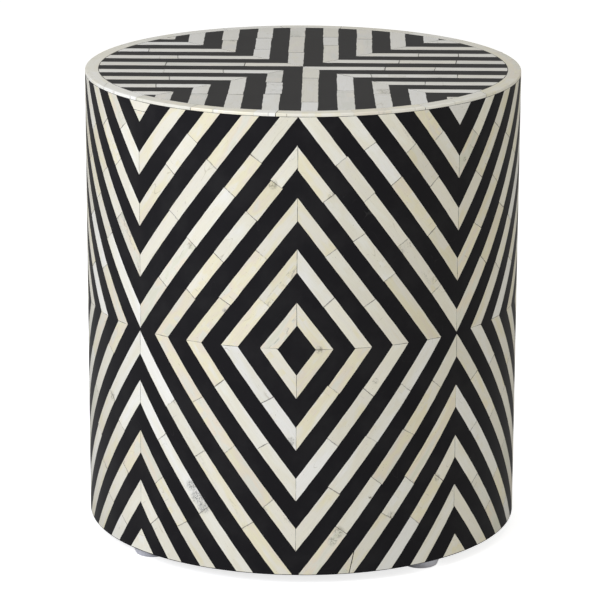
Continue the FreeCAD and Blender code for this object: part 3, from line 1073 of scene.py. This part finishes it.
def layTopQuadrant(name, across, along, boneFirst, node):
    piece = startPiece(f"topBone{name[0].upper()}{name[1:]}")
    low = 0 if boneFirst else topInlay["gapWidth"]
    shifts = topInlay["cornerShift"].get(name, ())
    mitre = Vector((-across, along, 0)).normalized()
    halfGap = mitre * topInlay["mitreGap"] / 2
    courses = list(zip(topInlay["seenSideways"][name], topInlay["seenForwards"][name]))
    for number, (sideways, forwards) in enumerate(courses):
        if number == len(courses) - 1:
            low += topInlay["outerShift"].get(name, 0)
        centre = low + topInlay["stripWidth"] / 2
        start = centre + (shifts[number] if number < len(shifts) else 0)
        corner = Vector((across * start, along * centre, 0))
        length = math.sqrt(topInlay["fieldRadius"] ** 2 - low ** 2) - centre
        fan = math.radians(topInlay["fan"] * centre) if along < 0 else 0
        ahead = Vector((across * math.sin(fan), along * math.cos(fan), 0))
        layRow(piece, corner, Vector((across, 0, 0)), length, topInlay["sideways"], [(-halfGap, mitre), None],
               [place - start for place in sideways])
        layRow(piece, corner, ahead, length, topInlay["forwards"], [(halfGap, -mitre), None],
               [place - centre for place in forwards])
        low += topInlay["stripWidth"] + topInlay["gapWidth"]
    bpy.ops.mesh.select_all(action="SELECT")
    bpy.ops.transform.rotate(value=-math.radians(topInlay["turn"]), orient_axis="Z",
                             center_override=(0, 0, 0))
    bpy.ops.transform.translate(value=(0, topInlay["shiftBack"], 0))
    cutFieldEdge(across, along)
    easeTiles(piece, topInlay["edges"])
    thicken(piece, topInlay["boneDepth"])
    piece.location.z = drum["top"]
    applyPlace()
    closePiece(topInlay["smoothAngle"])
    keepPiece(piece, boneTop, "bone", node)


for name, (across, along, boneFirst, node) in topInlay["quadrants"].items():
    layTopQuadrant(name, across, along, boneFirst, node)


def isDisc(face):  # only the round ends of a cylinder or cone have more than four corners
    return len(face.verts) > 4


def pourTopResin():
    high = drum["top"] - topInlay["resinSink"]
    low = drum["fieldTop"] - topInlay["resinOverlap"]
    piece = addShape("topResin", bpy.ops.mesh.primitive_cylinder_add, vertices=topInlay["resinFacets"],
                     depth=high - low, radius=drum["radius"] - topInlay["resinInside"],
                     location=(0, 0, (high + low) / 2))
    applyPlace()
    bpy.ops.object.mode_set(mode="EDIT")
    chooseParts(piece, "faces", isDisc)
    for ring in range(2):
        bpy.ops.mesh.inset(thickness=topInlay["resinRing"], depth=0)
    bpy.ops.object.mode_set(mode="OBJECT")
    closePiece(topInlay["resinAngle"])
    keepPiece(piece, blackResin, "resin", "top_resin_back_left", "top_resin_back_right",
              "top_resin_front_left", "top_resin_front_right")


pourTopResin()
print("top marquetry laid")


# glides and their screws

glide = {
    "footRadius": 0.0167,
    "topRadius": 0.0206,
    "height": drum["foot"],
    "facets": 64,
    "edge": 0.0010,
    "edgeSteps": 5,
    "recessRadius": 0.0041,
    "recessDepth": 0.004,
    "circle": 0.1905,
    "turns": [221, 309, 41, 129],
    "smoothAngle": 40,
}
screw = {
    "headRadius": 0.0039,
    "headHeight": 0.0025,
    "headSunk": 0.0005,
    "facets": 40,
    "edge": 0.0011,
    "edgeSteps": 4,
    "slotWidth": 0.0009,
    "slotLength": 0.0048,
    "slotDepth": 0.0012,
    "smoothAngle": 35,
}


def placeCopies(model, name):  # four finished copies of one model, each with its own mesh
    copies = []
    for turn in glide["turns"]:
        copyPiece = model.copy()
        copyPiece.data = model.data.copy()
        bpy.context.collection.objects.link(copyPiece)
        angle = math.radians(turn)
        spot = Vector((glide["circle"] * math.cos(angle), glide["circle"] * math.sin(angle), 0))
        copyPiece.data.transform(Matrix.Translation(spot) @ Matrix.Rotation(angle, 4, "Z"))
        copies.append(copyPiece)
    bpy.data.objects.remove(model)
    bpy.ops.object.select_all(action="DESELECT")
    for copyPiece in copies:
        copyPiece.select_set(True)
    bpy.context.view_layer.objects.active = copies[0]
    bpy.ops.object.join()
    copies[0].name = name
    copies[0].data.name = name
    return copies[0]


def easeFoot(model, low, look):  # rounds the lower edge of a turned model
    bpy.ops.object.mode_set(mode="EDIT")
    chooseParts(model, "edges", lambda side: all(vert.co.z < low + touching for vert in side.verts))
    bpy.ops.mesh.bevel(offset=look["edge"], segments=look["edgeSteps"], profile=0.5, affect="EDGES")


def turnGlide():
    model = addShape("glideModel", bpy.ops.mesh.primitive_cone_add, vertices=glide["facets"],
                     depth=glide["height"], radius1=glide["footRadius"], radius2=glide["topRadius"],
                     location=(0, 0, glide["height"] / 2))
    applyPlace()
    easeFoot(model, 0, glide)
    flatRadius = chooseParts(model, "faces", lambda face: isDisc(face) and face.normal.z < 0)
    bpy.ops.mesh.inset(thickness=flatRadius - glide["recessRadius"], depth=0)
    bpy.ops.mesh.extrude_region_move(TRANSFORM_OT_translate={"value": (0, 0, glide["recessDepth"])})
    bpy.ops.object.mode_set(mode="OBJECT")
    piece = placeCopies(model, "footGlides")
    closePiece(glide["smoothAngle"])
    keepPiece(piece, greyNylon, "nylon", "glides")


def turnScrews():
    low = glide["recessDepth"] - screw["headHeight"]
    tall = screw["headHeight"] + screw["headSunk"]
    model = addShape("screwModel", bpy.ops.mesh.primitive_cylinder_add, vertices=screw["facets"],
                     radius=screw["headRadius"], depth=tall, location=(0, 0, low + tall / 2))
    applyPlace()
    easeFoot(model, low, screw)
    bpy.ops.object.mode_set(mode="OBJECT")
    for turn in (0, math.pi / 2):
        cutter = addShape("slotCutter", bpy.ops.mesh.primitive_cube_add, size=1, location=(0, 0, low),
                          rotation=(0, 0, turn))
        cutter.scale = (screw["slotLength"], screw["slotWidth"], 2 * screw["slotDepth"])
        bpy.ops.object.select_all(action="DESELECT")
        model.select_set(True)
        bpy.context.view_layer.objects.active = model
        applyModifier(model, "BOOLEAN", operation="DIFFERENCE", solver="EXACT", object=cutter)
        bpy.data.objects.remove(cutter)
    piece = placeCopies(model, "glideScrews")
    closePiece(screw["smoothAngle"])
    keepPiece(piece, screwSteel, "steel", "glide_screws")


turnGlide()
turnScrews()
print("glides and screws placed")


# floor, backdrop and light

studio = {
    "floorSize": 60,
    "floorColor": (0.62, 0.62, 0.62, 1),
    "floorRoughness": 0.9,
    "floorGlow": 0.78,
    # what shiny surfaces see instead, so that black stays black
    "mirroredColor": (0.40, 0.40, 0.40, 1),
    "mirroredGlow": 0.10,
    "skyColor": (1.0, 0.982, 0.93, 1),
    "white": (1, 1, 1, 1),
    "ambient": 0.39,
    "sweep": (0.02, 0.30, 0.65, 0.30),  # from the horizon to the ceiling, and how bright they are
    "lamps": {
        "keyLeft": {
            "turn": -42, "rise": 33, "away": 2.2, "size": 1.3, "power": 35.2, "color": (0.965, 0.993, 1.065),
        },
        "fillRight": {
            "turn": 75, "rise": 18, "away": 3.4, "size": 2.2, "power": 23.4, "color": (1.0, 0.982, 0.895),
        },
        "topSoft": {
            "turn": 10, "rise": 78, "away": 3.0, "size": 2.4, "power": 8.2, "color": (0.98, 0.985, 0.98),
        },
    },
}


def layFloor():
    floor = addShape("paperFloor", bpy.ops.mesh.primitive_plane_add, size=studio["floorSize"],
                     location=(0, 0, 0))
    material, tree, shader = newMaterial(
        "paperFloor", Roughness=studio["floorRoughness"],
        **{"Specular IOR Level": 0.0, "Emission Color": studio["white"]})
    rays = addNode(tree, "ShaderNodeLightPath").outputs
    seen = mathNode(tree, "MAXIMUM", rays["Is Camera Ray"], rays["Is Transmission Ray"])
    glow = mathNode(tree, "ADD", product(tree, seen, studio["floorGlow"]),
                    product(tree, rays["Is Glossy Ray"], studio["mirroredGlow"]))
    wire(tree, glow, shader.inputs["Emission Strength"])
    wire(tree, mixNode(tree, "RGBA", rays["Is Glossy Ray"], studio["floorColor"], studio["mirroredColor"]),
         shader.inputs["Base Color"])
    floor.data.materials.append(material)


def hangBackdrop():  # white for the camera, a soft sweep for shiny surfaces, even light for the rest
    world = bpy.data.worlds.new("studio")
    bpy.context.scene.world = world
    world.use_nodes = True
    tree = world.node_tree
    tree.nodes.clear()
    rays = addNode(tree, "ShaderNodeLightPath").outputs
    direction = addNode(tree, "ShaderNodeTexCoord").outputs["Generated"]
    sweep = rangeNode(tree, splitNode(tree, direction)[2], *studio["sweep"])
    mirrored = mathNode(tree, "MAXIMUM", rays["Is Glossy Ray"], rays["Is Transmission Ray"])
    soft = mixNode(tree, "FLOAT", mirrored, studio["ambient"], sweep)
    back = addNode(tree, "ShaderNodeBackground")
    wire(tree, mixNode(tree, "FLOAT", rays["Is Camera Ray"], soft, 1.0), back.inputs["Strength"])
    wire(tree, mixNode(tree, "RGBA", rays["Is Camera Ray"], studio["skyColor"], studio["white"]),
         back.inputs["Color"])
    wire(tree, back.outputs[0], addNode(tree, "ShaderNodeOutputWorld").inputs[0])


def addObject(name, data):
    added = bpy.data.objects.new(name, data)
    bpy.context.collection.objects.link(added)
    return added


def hangLamps():
    aim = Vector((0, 0, middleHeight))
    for name, lamp in studio["lamps"].items():
        data = bpy.data.lights.new(name, "AREA")
        data.size = lamp["size"]
        data.energy = lamp["power"]
        data.color = lamp["color"]
        lampObject = addObject(name, data)
        turn, rise = math.radians(lamp["turn"]), math.radians(lamp["rise"])
        way = Vector((math.sin(turn) * math.cos(rise), -math.cos(turn) * math.cos(rise), math.sin(rise)))
        lampObject.location = aim + way * lamp["away"]
        lampObject.rotation_euler = (-way).to_track_quat("-Z", "Y").to_euler()


# camera: placed as the photograph was taken, its places in radii of the drum and its turns in radians

camera = {
    "lens": 203.18,
    "sensor": 36,
    "farClip": 100,
    "away": 15.845,
    "tilt": 0.27229,
    "roll": -0.00371,
    "aimSide": -0.01036,
    "aimHeight": 0.99989,
    "turn": 0.02342,
}


def placeCamera():
    radius = drum["radius"]
    tilt, roll = camera["tilt"], camera["roll"]
    forward = Vector((0, math.cos(tilt), -math.sin(tilt)))
    right = Vector((1, 0, 0))
    up = right.cross(forward)
    aim = Vector((camera["aimSide"] * radius, 0, camera["aimHeight"] * radius + drum["foot"]))
    spot = aim - forward * camera["away"] * radius
    rolledRight = right * math.cos(roll) - up * math.sin(roll)
    rolledUp = right * math.sin(roll) + up * math.cos(roll)
    view = Matrix((rolledRight, rolledUp, -forward)).transposed().to_4x4()
    data = bpy.data.cameras.new("photoCamera")
    data.lens = camera["lens"]
    data.sensor_width = camera["sensor"]
    data.clip_end = camera["farClip"]
    cameraObject = addObject("photoCamera", data)
    cameraObject.matrix_world = Matrix.Rotation(camera["turn"], 4, "Z") @ Matrix.Translation(spot) @ view
    bpy.context.scene.camera = cameraObject


layFloor()
hangBackdrop()
hangLamps()
placeCamera()
bpy.context.scene.view_settings.view_transform = "Standard"
ownMaterials = [boneSide, boneTop, boneRim, blackResin, blackPaint, greyNylon, screwSteel, staveWood,
                plyBoard]
for tree in [boneFigure, spotGroup, scuffs, woodGrain] + [material.node_tree for material in ownMaterials]:
    arrangeNodes(tree)
print("studio ready")
